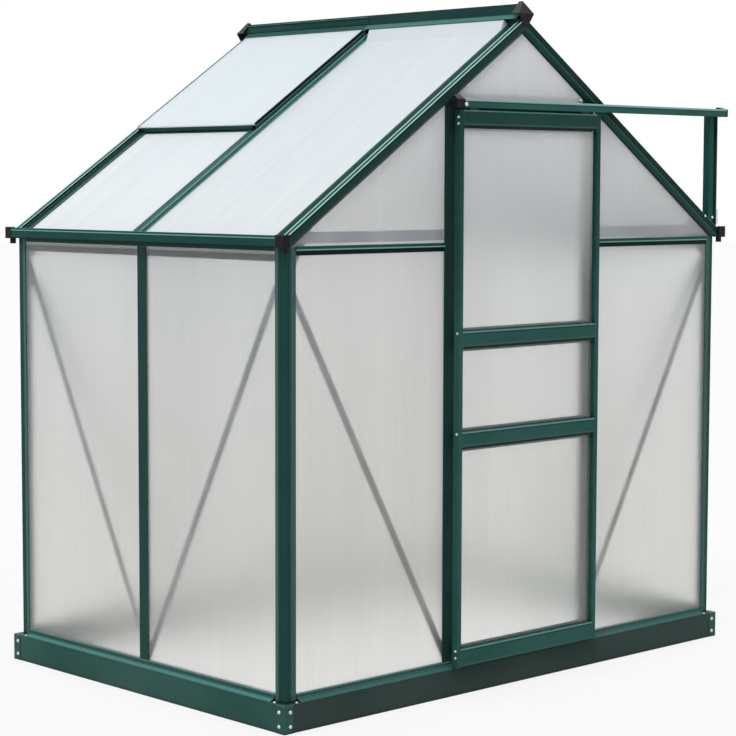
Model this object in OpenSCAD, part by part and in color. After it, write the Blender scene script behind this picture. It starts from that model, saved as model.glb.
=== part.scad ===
// Small walk-in greenhouse: twin-wall sheets held in aluminium profiles on a
// steel base frame, with a hung sliding door in the front gable and one roof vent.
// Origin: centre of the base frame at ground level. X runs along the door front,
// Y from the door front to the back, Z up.

/* [Overall size] */
// Width of the base frame, along the door front
base_w = 1900; // [1600:10:2600]
// Depth of the base frame, front to back
base_d = 1290; // [1000:10:2600]
// Height of the base frame
base_h = 80; // [60:5:120]
// Height of the gutter's top edge above the ground
eave_z = 1355; // [1200:5:1900]
// Height of the ridge beam's top above the ground
ridge_z = 2022; // [1850:5:2700]

/* [Door] */
// Width of the door leaf
door_w = 612; // [500:2:700]
// Height of the door leaf's lower edge above the ground
door_z0 = 86; // [85:1:140]
// Height of the door leaf's upper edge above the ground
door_z1 = 1703; // [1500:1:1750]
// Height of the lower middle rail's centre line
rail_z_low = 754; // [500:1:850]
// Height of the upper middle rail's centre line
rail_z_high = 1045; // [900:1:1300]
// Width that the closed leaf laps over each door post's inner edge
door_lap = 31; // [8:1:36]
// Depth of the door's frame profile
door_t = 22; // [18:1:28]
// Clear space between the door's back and the walls' outermost face
door_gap = 10; // [8:1:30]

/* [Walls] */
// Distance from the base's outer edge to the walls' outer face
wall_inset = 18; // [12:1:30]
// Visible width of a post
post_w = 40; // [30:1:50]
// Visible width of the posts beside the doorway and of the back posts
door_post_w = 48; // [40:1:60]
// Depth of a wall profile
post_t = 20; // [18:1:30]
// Height of the rails across the gables
gable_rail_h = 25; // [20:1:40]
// Height of the gable rails' centre line
gable_rail_z = 1312; // [1100:1:1330]
// Height of the rail over the doorway
header_h = 40; // [30:1:60]

/* [Sheets] */
// Thickness of a twin-wall sheet
sheet_t = 4; // [4:1:6]
// Free space on each face of a wall sheet in its slot
sheet_play = 0.2; // [0.1:0.1:0.6]
// Free space between a sheet's edge and the bottom of its slot
edge_play = 0.8; // [0.5:0.1:2]

/* [Roof] */
// Width of the flange behind a rafter's or roof bar's rib
bar_flange = 39; // [30:1:50]
// Height of the ribs on the roof bars
bar_rib = 8; // [4:1:12]
// Distance that the roof sheets reach out over the gutter
sheet_over = 6; // [4:1:16]
// Distance from the ridge's centre to the vent's lower edge, down the slope
vent_len = 570; // [400:5:700]
// Width of the vent frame's bars
vent_bar = 18; // [14:1:26]
// Outer overhang of the gutter past the base's edge
gutter_out = 10; // [8:1:40]
// Height of the gutter's outer face
gutter_h = 32; // [24:1:44]

/* [Hidden] */

frame_green = [0.11, 0.30, 0.27];
sheet_white = [0.88, 0.92, 0.94, 0.6];
zinc = [0.62, 0.66, 0.66];
plastic_black = [0.16, 0.15, 0.16];

// Metal thickness of the extruded profiles and of the pressed steel
skin = 1.6;
steel = 1.5;
// Small gap between like pieces that meet end to end
joint_gap = 0.3;

half_w = base_w / 2;
half_d = base_d / 2;

// Layers of a wall profile, counted inwards from the wall's outer face
slot_w = sheet_t + 2 * sheet_play;
rear_b = skin + slot_w;
sheet_b = skin + sheet_play;
web_t = 2.4;
channel_w = 16;
channel_lip = 4.5;
corner_box = 18;
corner_in = wall_inset + post_w;

// Layers of the roof, counted from the top of the ribs
slot_n0 = -bar_rib - skin;
slot_n1 = slot_n0 - slot_w;
shelf_n = slot_n1 - skin;
sheet_n0 = slot_n1;
sheet_n1 = sheet_n0 + sheet_t;

// Roof slope: the rib tops run from the apex to a line over the base's edge
apex_drop = 45;
eave_drop = 16;
apex_z = ridge_z - apex_drop;
pitch = atan((apex_z - eave_z + eave_drop) / half_w);

function slope_z(x, n) = apex_z - abs(x) * tan(pitch) + n / cos(pitch);
function slope_s(x, n) = (abs(x) - n * sin(pitch)) / cos(pitch);

// Rafter
rafter_in = 5;
rafter_box_w = wall_inset - rafter_in + rear_b + skin + 4.4;
rafter_box_n = -25;
rafter_n = -36;
rafter_y0 = -half_d + rafter_in;
rafter_y1 = rafter_y0 + rafter_box_w;
rafter_y2 = rafter_y1 + bar_flange;

// Middle roof bars: the rib lies behind the side posts' centre line
bar_y = 17;
bar_rib_w = 10;
bar_front = 7;
bar_y0 = bar_y - bar_rib_w / 2 - bar_front;
bar_y1 = bar_y + bar_rib_w / 2 + bar_flange;

// Sill
sill_h = 21;
sill_floor = 5;
sill_end = corner_in + 4;
post_z0 = base_h + sill_h;
sheet_z0 = base_h + sill_floor + skin;

// Gutter and eave, counted from the gutter's outer face
gutter_z0 = eave_z - gutter_h;
gutter_in = wall_inset - 2;
gutter_w = gutter_out + gutter_in;
eave_in = gutter_out + wall_inset;
eave_plate = eave_in + rear_b + skin;
eave_flange = 11;
eave_box = 39;
channel_box = 17;
side_sheet_z1 = gutter_z0 - edge_play;

// Ends of the roof bars
bar_end_x = half_w - gutter_in + 1;
bar_foot_x = half_w - wall_inset - rear_b + 5;
ridge_web = 14;
ridge_shelf = 15;

// Door leaf
door_x = door_w / 2;
door_post_x = door_x - door_lap + door_post_w / 2;
door_y1 = rafter_y0 - door_gap;
door_y0 = door_y1 - door_t;
stile_w = 15;
door_rail_h = 48;
door_foot_h = 57;
door_flange = 10;
door_lip = 4;
pane_b = door_t - 8;
slot_b0 = pane_b - sheet_play;
slot_b1 = pane_b + sheet_t + sheet_play;

// Track
track_h = 25;
track_gap = 6;
track_z0 = door_z1 + track_gap;
track_z1 = track_z0 + track_h;
track_y1 = rafter_y0;
track_y0 = door_y0 - 6;
track_x0 = 14 - door_x;
support_w = 40;
support_x = half_w - 65;
track_x1 = max(door_x * 3 + 3, support_x + support_w - 4);
shelf_w = 14;
shelf_z = track_z0 + 4;
stop_len = 28;
wheel_r = 9;
wheel_w = 6;

// Header: its face ends behind the track, its rear flange stands higher
header_z = track_z1 - 2 - header_h / 2;
header_rise = 19;

// ---------------------------------------------------------------- helpers

// A rectangle from one corner to the other
module rect(x0, x1, y0, y1) {
    translate([x0, y0]) square([x1 - x0, y1 - y0]);
}

// A box from one corner to the other
module block(p, q) {
    translate(p) cube(q - p);
}

module both_sides() {
    children();
    mirror([1, 0, 0]) children();
}

module both_ends() {
    children();
    mirror([0, 1, 0]) children();
}

// Local frame of a wall: x along it, y inwards from its outer face
module on_wall(name) {
    turn = name == "front" ? 0 : name == "back" ? 180 : name == "right" ? 90 : -90;
    half = name == "front" || name == "back" ? half_d : half_w;
    rotate([0, 0, turn]) translate([0, wall_inset - half, 0]) children();
}

// Local frame of a roof slope: x down the slope from the apex, z out of the roof
module on_slope(side) {
    mirror([side < 0 ? 1 : 0, 0, 0])
        translate([0, 0, apex_z]) rotate([0, pitch, 0]) children();
}

// Extrudes a section drawn in (y, z) along x
module along_x(x0, x1) {
    translate([x0, 0, 0]) rotate([90, 0, 90]) linear_extrude(x1 - x0) children();
}

// Extrudes a section drawn in (x, z) along y
module along_y(y0, y1) {
    translate([0, y1, 0]) rotate([90, 0, 0]) linear_extrude(y1 - y0) children();
}

// Outline of everything under a line that lies n above the roof's rib tops
module under_roof_2d(n) {
    polygon([
        [-half_w, -10], [half_w, -10], [half_w, slope_z(half_w, n)],
        [0, slope_z(0, n)], [-half_w, slope_z(half_w, n)]
    ]);
}

module under_roof(n) {
    along_y(-half_d - 100, half_d + 100) under_roof_2d(n);
}

// ---------------------------------------------------------------- sections

// Bolt channel behind a profile, centred on x, from y0 to y1, open inwards
module channel_2d(y0, y1) {
    for (s = [-1, 1]) scale([s, 1]) {
        rect(channel_w / 2 - skin, channel_w / 2, y0, y1);
        rect(channel_w / 2 - channel_lip, channel_w / 2, y1 - skin, y1);
    }
}

// Post or rail with a sheet slot on both edges: x along the wall, y inwards
module post_2d(w) {
    rect(-w / 2, w / 2, 0, skin);
    rect(-w / 2 + 4, w / 2 - 4, rear_b, rear_b + skin);
    rect(-web_t / 2, web_t / 2, 0, rear_b + skin);
    channel_2d(rear_b, post_t);
}

// Square with its outer corner cut off
module nose_2d(a, b) {
    cut = 6;
    polygon([[a + cut, a], [b, a], [b, b], [a, b], [a, a + cut]]);
}

// Rail across a gable: its upper half stands proud of the wall
module rail_2d(h) {
    proud = 3;
    post_2d(h);
    difference() {
        rect(-h / 2, 0, -proud, skin);
        rect(skin - h / 2, -skin, skin - proud, 0);
    }
}

// Corner post: a hollow corner with a sheet slot and a bolt channel along each wall
module corner_2d() {
    recess = 1;
    channel_a = post_w - 6 - channel_w / 2;
    difference() {
        nose_2d(recess, corner_box);
        nose_2d(recess + skin, corner_box - skin);
    }
    for (turn = [0, 1]) mirror([turn, -turn]) {
        rect(corner_box - skin, post_w, 0, skin);
        rect(corner_box - skin, post_w - 6, rear_b, rear_b + skin);
        translate([channel_a + 4, 0]) channel_2d(rear_b, post_t);
        rect(post_w - 6, post_w - 2, rear_b, rear_b + skin);
    }
}

// Sill: sloped outer flange, sheet slot and a bolt channel inside
module sill_2d() {
    edge = 1 - wall_inset;
    polygon([[edge, 0], [edge, skin], [skin, 11], [skin, 9], [edge + 3, 0]]);
    rect(edge + 1, post_t, 0, skin);
    rect(0, skin, 0, sill_h);
    rect(rear_b, rear_b + skin, 0, sill_h);
    rect(0, rear_b + skin, sill_floor, sill_floor + skin);
    rect(rear_b, post_t, 16, 16 + skin);
    rect(post_t - skin, post_t, 0, channel_lip);
    rect(post_t - skin, post_t, 13, 16 + skin);
}

// Gutter: x inwards from its outer face
module gutter_2d() {
    inner_z = slope_z(bar_end_x, shelf_n) - joint_gap;
    rect(0, skin, gutter_z0, eave_z);
    rect(0, skin + 1.4, eave_z - 2.4, eave_z);
    rect(0, gutter_w, gutter_z0, gutter_z0 + skin);
    rect(gutter_w - skin, gutter_w, gutter_z0, inner_z);
}

// Eave profile under the gutter: a sheet slot and a bolt channel
module eave_2d() {
    back = eave_in + post_t + 2;
    rear = eave_in + rear_b;
    low = gutter_z0 - eave_box;
    flange_z = gutter_z0 - eave_flange;
    rect(eave_in, eave_in + skin, flange_z, gutter_z0 + skin);
    rect(rear, rear + skin, flange_z, gutter_z0 + skin);
    rect(rear, back - 4, flange_z, flange_z + skin);
    rect(back - 4 - skin, back - 4, low + channel_box - skin, flange_z + skin);
    rect(rear, back, low + channel_box - skin, low + channel_box);
    rect(rear, rear + skin, low, low + channel_box);
    rect(rear, back, low, low + skin);
    rect(back - skin, back, low, low + channel_lip);
    rect(back - skin, back, low + channel_box - channel_lip, low + channel_box);
}

// Middle roof bar: x from its rib's centre to the back, y out of the roof
module bar_2d() {
    front = bar_y0 - bar_y;
    back = bar_y1 - bar_y;
    rect(front, back, slot_n0, -bar_rib);
    rect(back - skin, back, slot_n0, 2 - bar_rib);
    rect(-bar_rib_w / 2, bar_rib_w / 2, slot_n0, 0);
    rect(-web_t / 2, web_t / 2, shelf_n, slot_n0);
    rect(-15, 15, shelf_n, slot_n1);
    scale([1, -1]) channel_2d(-slot_n1, 14 - slot_n1);
}

// Rafter's hollow bar over a gable: x inwards from its front face, y out of the roof
module rafter_box_2d() {
    slot_a = wall_inset - rafter_in;
    lip = 7;
    difference() {
        rect(0, rafter_box_w, rafter_box_n, 0);
        rect(skin, rafter_box_w - skin, rafter_box_n + skin, -3 - skin);
        // channel between the two upper lips
        rect(lip, rafter_box_w - lip, -3, 1);
    }
    // the face goes on down to the slot as a bevel
    polygon([
        [0, rafter_box_n + skin], [0, rafter_box_n], [slot_a, rafter_n],
        [slot_a + skin, rafter_n], [slot_a + skin, rafter_n + 1], [2, rafter_box_n + skin]
    ]);
    // slot for the gable sheet
    rect(slot_a, slot_a + skin, rafter_n, rafter_box_n + skin);
    rect(slot_a + rear_b, slot_a + rear_b + skin, rafter_n, rafter_box_n + skin);
}

// Rafter's flanges over and under the roof sheet
module rafter_flange_2d() {
    wall = rafter_box_w - skin;
    back = rafter_box_w + bar_flange;
    rect(wall, back, slot_n0, -bar_rib);
    rect(back - skin, back, slot_n0, 3 - bar_rib);
    rect(wall, rafter_box_w + 13, shelf_n, slot_n1);
}

// ---------------------------------------------------------------- base

// Pressed steel base plate, drawn inwards from the base's outer edge
module base_plate_2d() {
    rect(steel, 2 * steel, 0, base_h);
    rect(steel, 42, base_h - steel, base_h);
    rect(steel, 30, 0, steel);
    rect(42 - steel, 42, base_h - 12, base_h);
}

// One plate, mitred at both ends
module base_plate(half_len, half_off) {
    intersection() {
        translate([0, -half_off, 0]) along_x(-half_len, half_len) base_plate_2d();
        linear_extrude(base_h) polygon([
            [-half_len, -half_off], [half_len, -half_off],
            [half_len - 60, -half_off + 60], [-half_len + 60, -half_off + 60]
        ]);
    }
}

module base_front() { color(frame_green) base_plate(half_w, half_d); }
module base_back() { color(frame_green) rotate([0, 0, 180]) base_plate(half_w, half_d); }
module base_left() { color(frame_green) rotate([0, 0, -90]) base_plate(half_d, half_w); }
module base_right() { color(frame_green) rotate([0, 0, 90]) base_plate(half_d, half_w); }

// Corner angles that clasp the plates' ends from outside
module base_corners() {
    leg = 32;
    color(frame_green) both_sides() both_ends() translate([-half_w, -half_d, 0])
        linear_extrude(base_h) {
            rect(0, leg, 0, steel);
            rect(0, steel, 0, leg);
        }
}

module sill(name, half_len) {
    on_wall(name) translate([0, 0, base_h])
        along_x(-half_len + sill_end, half_len - sill_end) sill_2d();
}

module sill_front() { color(frame_green) sill("front", half_w); }
module sill_back() { color(frame_green) sill("back", half_w); }

module side_sills() {
    color(frame_green) {
        sill("left", half_d);
        sill("right", half_d);
    }
}

// ---------------------------------------------------------------- posts

module corner_posts() {
    color(frame_green) both_sides() both_ends()
        translate([-half_w + wall_inset, -half_d + wall_inset, base_h])
            linear_extrude(gutter_z0 - base_h) corner_2d();
}

module side_posts() {
    // the back is cut short under the eave's channel, the face runs on above it
    back_z = gutter_z0 - eave_box;
    face_z = gutter_z0 - eave_flange;
    color(frame_green) for (name = ["left", "right"]) on_wall(name)
        translate([0, 0, post_z0]) {
            linear_extrude(back_z - post_z0) post_2d(post_w);
            linear_extrude(face_z - post_z0) {
                rect(-post_w / 2, post_w / 2, 0, skin);
                rect(-web_t / 2, web_t / 2, 0, sheet_b + sheet_t);
            }
        }
}

module gable_posts(name) {
    color(frame_green) intersection() {
        both_sides() on_wall(name) translate([door_post_x, 0, post_z0])
            linear_extrude(apex_z - post_z0) post_2d(door_post_w);
        under_roof(rafter_n);
    }
}

module door_posts() { gable_posts("front"); }
module back_posts() { gable_posts("back"); }

// ---------------------------------------------------------------- gable rails

// Rail from x0 to x1 around the height z, from a section with its upper edge at -x
module gable_rail(x0, x1, z) {
    translate([x0, 0, z]) rotate([0, 90, 0]) linear_extrude(x1 - x0) children();
}

rail_x0 = door_post_x + door_post_w / 2;
rail_x1 = half_w - corner_in;
bay_x = door_post_x - door_post_w / 2;

module gable_rails_front() {
    color(frame_green) both_sides() on_wall("front")
        gable_rail(rail_x0, rail_x1, gable_rail_z) rail_2d(gable_rail_h);
}

module gable_rails_back() {
    color(frame_green) {
        both_sides() on_wall("back")
            gable_rail(rail_x0, rail_x1, gable_rail_z) rail_2d(gable_rail_h);
        on_wall("back") gable_rail(-bay_x, bay_x, gable_rail_z) rail_2d(gable_rail_h);
    }
}

module door_header() {
    color(frame_green) intersection() {
        on_wall("front") {
            gable_rail(-bay_x, bay_x, header_z) post_2d(header_h);
            block([-bay_x, rear_b, header_z + header_h / 2 - 5],
                  [bay_x, rear_b + skin, track_z1 + header_rise]);
        }
        under_roof(rafter_n);
    }
}

// ---------------------------------------------------------------- gutters

module gutter_left() {
    color(frame_green) translate([-half_w - gutter_out, 0, 0])
        along_y(-half_d, half_d) gutter_2d();
}

module gutter_right() { mirror([1, 0, 0]) gutter_left(); }

module eave_left() {
    color(frame_green) translate([-half_w - gutter_out, 0, 0]) {
        along_y(rafter_y0, -rafter_y0)
            rect(gutter_w, eave_plate, gutter_z0, gutter_z0 + skin);
        along_y(-half_d + corner_in, half_d - corner_in) eave_2d();
    }
}

module eave_right() { mirror([1, 0, 0]) eave_left(); }

// Moulded caps that sleeve the gutters' ends, each with a round spout. Beside the
// rafter's foot a cap goes on without its inner wall.
module gutter_end_caps() {
    wall = 1.5;
    front = 5;
    sleeve = 24;
    spout_r = 9;
    x0 = -half_w - gutter_out - wall;
    x1 = -half_w + gutter_in;
    y0 = -half_d - front;
    y1 = -half_d + sleeve;
    z0 = gutter_z0 - wall;
    z1 = eave_z + wall;
    spout = [x0 + 21, y0 + 11, z0 - 16];
    color(plastic_black) both_sides() both_ends() difference() {
        union() {
            block([x0, y0, z0], [x1 + wall, rafter_y0 - joint_gap, z1]);
            block([x0, y0, z0], [-bar_end_x - joint_gap, y1, z1]);
            translate(spout) cylinder(h = 17, r = spout_r, $fn = 48);
        }
        block([x0 + wall, y0 + front, gutter_z0], [x1, y1 + 1, z1 + 1]);
        translate(spout - [0, 0, 1]) cylinder(h = 17, r = spout_r - wall, $fn = 48);
    }
}

// ---------------------------------------------------------------- roof frame

// Keeps a bar's part on the right slope, from x0 outwards. Its foot stands on the
// eave, and under the sheets it stops short of the ridge's shelf.
module trim_bar(x0, shelf) {
    foot_z = gutter_z0 + skin;
    intersection() {
        children();
        along_y(-half_d - 50, half_d + 50) polygon([
            [x0, ridge_z], [x0, slope_z(x0, slot_n1)],
            [x0 + shelf, slope_z(x0 + shelf, slot_n1)], [x0 + shelf, foot_z],
            [bar_foot_x, foot_z], [bar_foot_x, slope_z(bar_foot_x, shelf_n)],
            [bar_end_x, slope_z(bar_end_x, shelf_n)], [bar_end_x, ridge_z]
        ]);
    }
}

// A bar down the right slope, from before the apex to past the eave
module slope_bar() {
    on_slope(1) along_x(-40, slope_s(half_w, 0) + 60) children();
}

module rafters_front() {
    color(frame_green) both_sides() translate([0, rafter_y0, 0]) {
        trim_bar(joint_gap / 2, 0) slope_bar() rafter_box_2d();
        trim_bar(ridge_web / 2, ridge_shelf) slope_bar() rafter_flange_2d();
    }
}

module rafters_back() { mirror([0, 1, 0]) rafters_front(); }

module roof_bars() {
    color(frame_green) both_sides() trim_bar(ridge_web / 2, ridge_shelf)
        translate([0, bar_y, 0]) slope_bar() bar_2d();
}

ridge_box_w = 16;
ridge_box_h = 31;
ridge_box_z = ridge_z - ridge_box_h;
hood_n = 16;

// Ridge's hollow top, chamfered above
module ridge_box_2d(inset) {
    w = ridge_box_w / 2 - inset;
    chamfer = 6;
    polygon([
        [-w, ridge_box_z + inset], [w, ridge_box_z + inset], [w, ridge_z - chamfer],
        [w - chamfer, ridge_z - inset], [chamfer - w, ridge_z - inset], [-w, ridge_z - chamfer]
    ]);
}

// Flange that hoods the sheets' upper edges, on the right slope
module ridge_hood_2d() {
    intersection() {
        translate([0, apex_z]) rotate(-pitch) rect(-20, 24, hood_n - skin, hood_n);
        rect(ridge_box_w / 2 - 1, 100, apex_z - 50, ridge_z);
    }
}

// Lower web with a shelf under each slope's sheets, open below for bolts
module ridge_web_2d() {
    half = ridge_web / 2;
    low = apex_z - 60;
    difference() {
        rect(-half, half, low, ridge_box_z + skin);
        rect(skin - half, half - skin, low + skin, ridge_box_z);
        rect(-3.5, 3.5, low - 1, low + 3);
    }
    for (s = [-1, 1]) scale([s, 1]) intersection() {
        translate([0, apex_z]) rotate(-pitch) rect(0, 60, shelf_n, slot_n1);
        rect(half - 0.5, half + ridge_shelf - joint_gap, low, apex_z);
    }
}

module ridge_beam() {
    top_y = half_d - rafter_in - 15;
    web_y = -rafter_y1;
    color(frame_green) {
        difference() {
            along_y(-top_y, top_y) ridge_box_2d(0);
            along_y(-top_y - 1, top_y + 1) ridge_box_2d(skin);
        }
        along_y(-web_y, web_y) ridge_web_2d();
        along_y(-top_y, top_y) ridge_hood_2d();
        // left slope: the hood stops where the vent's hinge begins
        mirror([1, 0, 0]) along_y(-top_y, vent_y0 - joint_gap) ridge_hood_2d();
    }
}

// Moulded cap over each end of the ridge
module ridge_caps() {
    top = ridge_z + 7;
    side_x = 33;
    side_z = ridge_z - 30;
    wall = 2.2;
    front = rafter_in - 2.5;
    hood_y = 33;
    color(plastic_black) both_ends() translate([0, -half_d, 0]) {
        // face plate in front of the rafters' mitre
        along_y(front, rafter_in) polygon([
            [side_x, side_z], [12.5, ridge_z - 59], [8, ridge_z - 66],
            [-8, ridge_z - 66], [-12.5, ridge_z - 59], [-side_x, side_z]
        ]);
        // hood back over the ridge, closed by a face that leans back
        difference() {
            along_y(front, hood_y) polygon([
                [0, top], [side_x, side_z], [side_x - wall, side_z - 1],
                [wall - side_x, side_z - 1], [-side_x, side_z]
            ]);
            difference() {
                along_y(front + wall, hood_y + 1) polygon([
                    [0, top - wall * 1.45], [side_x - wall, side_z - 2], [wall - side_x, side_z - 2]
                ]);
                lean_back(front + wall, side_z);
            }
            lean_back(front, side_z);
        }
    }
}

// Everything in front of a plane that leans back above the height z
module lean_back(y, z) {
    translate([-50, y, z]) rotate([-23, 0, 0]) translate([0, -40, 0]) cube([100, 40, 60]);
}

// ---------------------------------------------------------------- sheets

bay_y0 = wall_inset + corner_box + 2;
mid_y = web_t / 2 + edge_play;

module side_sheets(name) {
    color(sheet_white) on_wall(name) for (s = [-1, 1]) scale([s, 1, 1])
        block([mid_y, sheet_b, sheet_z0], [half_d - bay_y0, sheet_b + sheet_t, side_sheet_z1]);
}

module side_sheets_left() { side_sheets("left"); }
module side_sheets_right() { side_sheets("right"); }

post_edge = door_post_x + mid_y;
door_edge = door_post_x - mid_y;
corner_edge = half_w - bay_y0;
low_edge = gable_rail_z - mid_y;
high_edge = gable_rail_z + web_t / 2;

// A gable sheet, cut to the slope where it reaches the rafters' slots
module gable_sheet(name, x0, x1, z0, z1) {
    on_wall(name) along_y(sheet_b, sheet_b + sheet_t) intersection() {
        rect(x0, x1, z0, z1);
        under_roof_2d(rafter_box_n - edge_play);
    }
}

module gable_sheets_front() {
    color(sheet_white) {
        both_sides() {
            gable_sheet("front", post_edge, corner_edge, sheet_z0, low_edge);
            gable_sheet("front", post_edge, corner_edge, high_edge, apex_z);
        }
        gable_sheet("front", -door_edge, door_edge, header_z + web_t / 2, apex_z);
    }
}

module gable_sheets_back() {
    color(sheet_white) {
        both_sides() {
            gable_sheet("back", post_edge, corner_edge, sheet_z0, low_edge);
            gable_sheet("back", post_edge, corner_edge, high_edge, apex_z);
        }
        gable_sheet("back", -door_edge, door_edge, sheet_z0, low_edge);
        gable_sheet("back", -door_edge, door_edge, high_edge, apex_z);
    }
}

roof_s0 = slope_s(ridge_web / 2 + edge_play, sheet_n0);
roof_s1 = slope_s(half_w - gutter_in + sheet_over, sheet_n1);
vent_sill_w = 25;
vent_sill_s = vent_len - 8;

// A roof sheet on one slope, between the front or the back rafter and the middle bar
module roof_sheet(side, s0, front_bay) {
    y0 = front_bay ? rafter_y1 + edge_play : bar_y + mid_y;
    y1 = front_bay ? bar_y - mid_y : -rafter_y1 - edge_play;
    on_slope(side) block([s0, y0, sheet_n0], [roof_s1, y1, sheet_n1]);
}

module roof_sheets_left() {
    color(sheet_white) {
        roof_sheet(-1, roof_s0, true);
        roof_sheet(-1, vent_sill_s + mid_y, false);
    }
}

module roof_sheets_right() {
    color(sheet_white) {
        roof_sheet(1, roof_s0, true);
        roof_sheet(1, roof_s0, false);
    }
}

// ---------------------------------------------------------------- roof vent

vent_y0 = bar_y + bar_rib_w / 2 + 3;
vent_y1 = -rafter_y1 - 8;
vent_n0 = -bar_rib;
vent_n1 = 10.5;
vent_s0 = slope_s(ridge_box_w / 2 + skin + 0.6, vent_n1);
vent_top = slope_s(ridge_web / 2 + 2.8, vent_n0);

// Cross rail that carries the upper edge of the short sheet under the vent
module vent_sill() {
    color(frame_green) on_slope(-1) translate([vent_sill_s, 0, 0]) along_y(bar_y1, -rafter_y2) {
        rect(-vent_sill_w / 2, vent_sill_w / 2, slot_n0, slot_n0 + skin);
        rect(-vent_sill_w / 2, vent_sill_w / 2, shelf_n, slot_n1);
        rect(-web_t / 2, web_t / 2, shelf_n, slot_n0);
    }
}

// Hinge rail that the vent hangs from, on the ridge's left face
module vent_hinge() {
    face = ridge_box_w / 2;
    color(frame_green) mirror([1, 0, 0]) along_y(vent_y0, vent_y1) {
        rect(face, face + skin, ridge_box_z + 1, ridge_z - 5);
        rect(face, face + 3.5, ridge_z - 9, ridge_z - 5);
        intersection() {
            translate([0, apex_z]) rotate(-pitch)
                rect(0, 24, vent_n1 + sheet_t, vent_n1 + sheet_t + skin);
            rect(face, 100, apex_z - 50, ridge_z);
        }
    }
}

// Section of a vent bar: x inwards from the sheet's edge, y out of the roof
module vent_bar_2d(n0) {
    recess = 5;
    difference() {
        union() {
            rect(0.5, vent_bar, n0, vent_n1 - 3);
            rect(recess, vent_bar, n0, vent_n1);
        }
        rect(0.5 + skin, vent_bar - skin, n0 + skin, vent_n1 - 3 - skin);
    }
}

// Frame of the vent: two side bars on the roof bars' flanges, two cross bars between
module vent_frame() {
    cross_n = vent_n0 + 3;
    color(frame_green) on_slope(-1) {
        translate([0, vent_y0, 0]) along_x(vent_top, vent_len) vent_bar_2d(vent_n0);
        translate([0, vent_y1, 0]) scale([1, -1, 1])
            along_x(vent_top, vent_len) vent_bar_2d(vent_n0);
        for (end = [[vent_len, -1], [vent_top - 0.5, 1]]) translate([end[0], 0, 0])
            scale([end[1], 1, 1])
                along_y(vent_y0 + vent_bar + joint_gap, vent_y1 - vent_bar - joint_gap)
                    vent_bar_2d(cross_n);
    }
}

module vent_sheet() {
    color(sheet_white) on_slope(-1)
        block([vent_s0, vent_y0, vent_n1], [vent_len, vent_y1, vent_n1 + sheet_t]);
}

// ---------------------------------------------------------------- braces

brace_w = 22;

// Flat bar between two points of a wall's inner face, its ends cut upright
module brace(p, q, side) {
    d = q - p;
    over = 60;
    intersection() {
        translate([p[0], post_t, p[1]]) rotate([0, -atan2(d[1], d[0]), 0])
            translate([-over, 0, -brace_w / 2]) cube([norm(d) + 2 * over, steel, brace_w]);
        scale([side, 1, 1])
            block([q[0] * side - 6, 0, 0], [p[0] * side + 6, post_t + steel, ridge_z]);
    }
}

module wall_braces() {
    low = base_h + 40;
    high = gutter_z0 - eave_box - brace_w;
    channel_a = wall_inset + post_w - 2 - channel_w / 2;
    color(zinc) for (s = [-1, 1]) {
        for (name = ["left", "right"]) on_wall(name)
            brace([s * (half_d - channel_a), high], [s * 6.5, low], s);
        for (name = ["front", "back"]) on_wall(name)
            brace([s * (half_w - channel_a), high - 40], [s * door_post_x, low], s);
    }
}

// Flat plates that tie posts, rails and rafters together inside the gables
module gusset_plates() {
    corner_x = half_w - wall_inset - post_w + channel_w;
    low = gable_rail_z - 57;
    far_x = corner_x - 90;
    head_x = bay_x - 34;
    lean = 24;
    color(zinc) {
        for (name = ["front", "back"]) on_wall(name) both_sides()
            along_y(post_t, post_t + steel) polygon([
                [corner_x, low], [corner_x, plate_z(corner_x)], [far_x, plate_z(far_x)],
                [far_x, plate_z(far_x) - 9], [corner_x - 33, low + 19]
            ]);
        on_wall("front") both_sides() along_y(post_t, post_t + steel) polygon([
            [bay_x + 10, header_z], [bay_x + 10, plate_z(bay_x + 10)],
            [head_x - lean, plate_z(head_x - lean)], [head_x - lean, plate_z(head_x - lean) - 10],
            [head_x, track_z1 + 8], [head_x, header_z]
        ]);
    }
}

function plate_z(x) = slope_z(x, rafter_n) - 1;

// ---------------------------------------------------------------- door track

module track_2d() {
    rect(track_y0, track_y1, track_z1 - skin, track_z1);
    rect(track_y0, track_y0 + skin, track_z0, track_z1);
    rect(track_y0, track_y0 + 4, track_z0, track_z0 + skin);
    rect(track_y1 - skin, track_y1, shelf_z - skin, track_z1);
    rect(track_y1 - shelf_w, track_y1, shelf_z - skin, shelf_z);
    rect(track_y1 - shelf_w, track_y1 - shelf_w + skin, shelf_z - skin, shelf_z + 2);
}

module door_track() {
    color(frame_green) along_x(track_x0, track_x1) track_2d();
}

// Section of a moulded end block: its top rises towards the wall
module stop_2d(depth, rise) {
    front = track_y0 + skin + joint_gap;
    polygon([
        [front, track_z0 + 1], [front + depth, track_z0 + 1],
        [front + depth, track_z1 + rise], [front + 3, track_z1], [front, track_z1]
    ]);
}

// Moulded blocks that close both ends of the track and stop the rollers
module track_stops() {
    outer0 = 28;
    outer1 = 10;
    lap = 14;
    front = track_y0 + skin + joint_gap;
    rear = track_y1 - joint_gap - skin;
    z0 = shelf_z + 2 + joint_gap;
    z1 = track_z1 - skin;
    color(plastic_black) {
        along_x(track_x0 - outer0, track_x0) stop_2d(17, 12);
        block([track_x0 - 1, front, z0], [track_x0 + stop_len, rear, z1]);
        along_x(track_x1, track_x1 + outer1) stop_2d(30, 7);
        block([track_x1 - stop_len, front, z0], [track_x1 + 1, rear, z1]);
        intersection() {
            along_x(track_x1 - lap, track_x1 + 1) stop_2d(30, 7);
            block([track_x1 - lap, track_y0, track_z1],
                  [track_x1 + 1, track_y1, track_z1 + 20]);
        }
    }
}

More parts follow.
